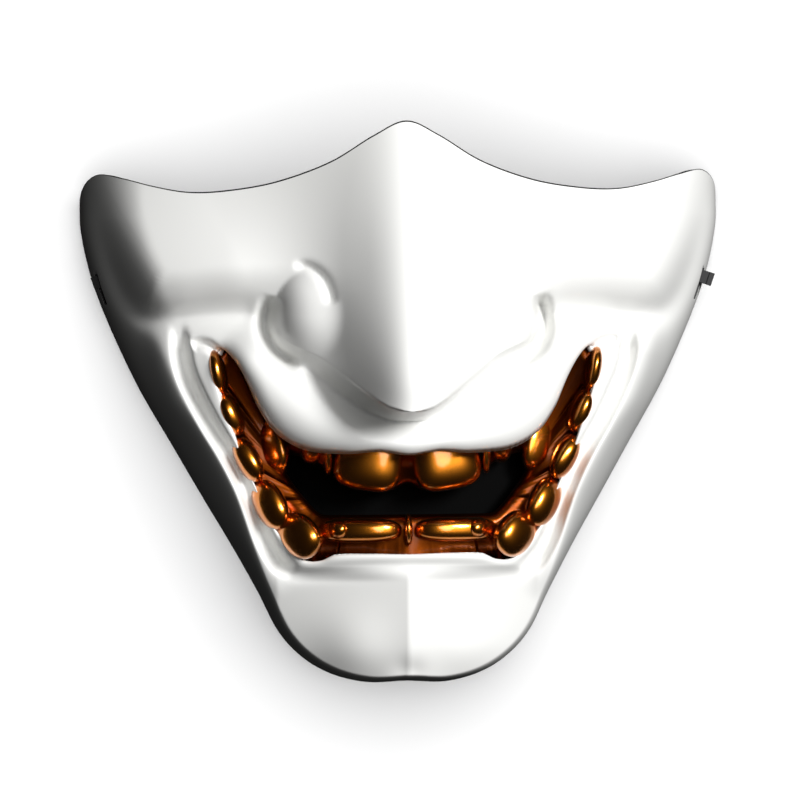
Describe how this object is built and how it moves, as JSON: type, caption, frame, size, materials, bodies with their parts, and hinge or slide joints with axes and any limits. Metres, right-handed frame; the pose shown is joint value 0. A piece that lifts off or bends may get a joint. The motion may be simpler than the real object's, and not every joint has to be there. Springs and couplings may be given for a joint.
{
  "type": "hannya half mask",
  "caption": "Demon half face mask from nose bridge to chin, a thin white moulded shell with a broad grinning mouth and gold teeth, lying face up on its rim.",
  "frame": {"origin": "centre of the bounding box on the table, under the lying mask", "axes": "+X to the right of the face as the viewer sees it, +Y towards the nose bridge, +Z out of the face"},
  "size_m": [0.2, 0.1728, 0.1],
  "materials": {
    "shell": "satin white lacquer outside, matt black inside",
    "teeth": "glossy candy gold lacquer",
    "lining": "matt black cloth",
    "strap": "black woven elastic"
  },
  "bodies": {
    "root": {"mask_shell": "shell", "teeth_insert": "teeth", "mouth_lining": "lining", "strap_tab_left": "strap", "strap_tab_right": "strap"}
  },
  "joints": []
}
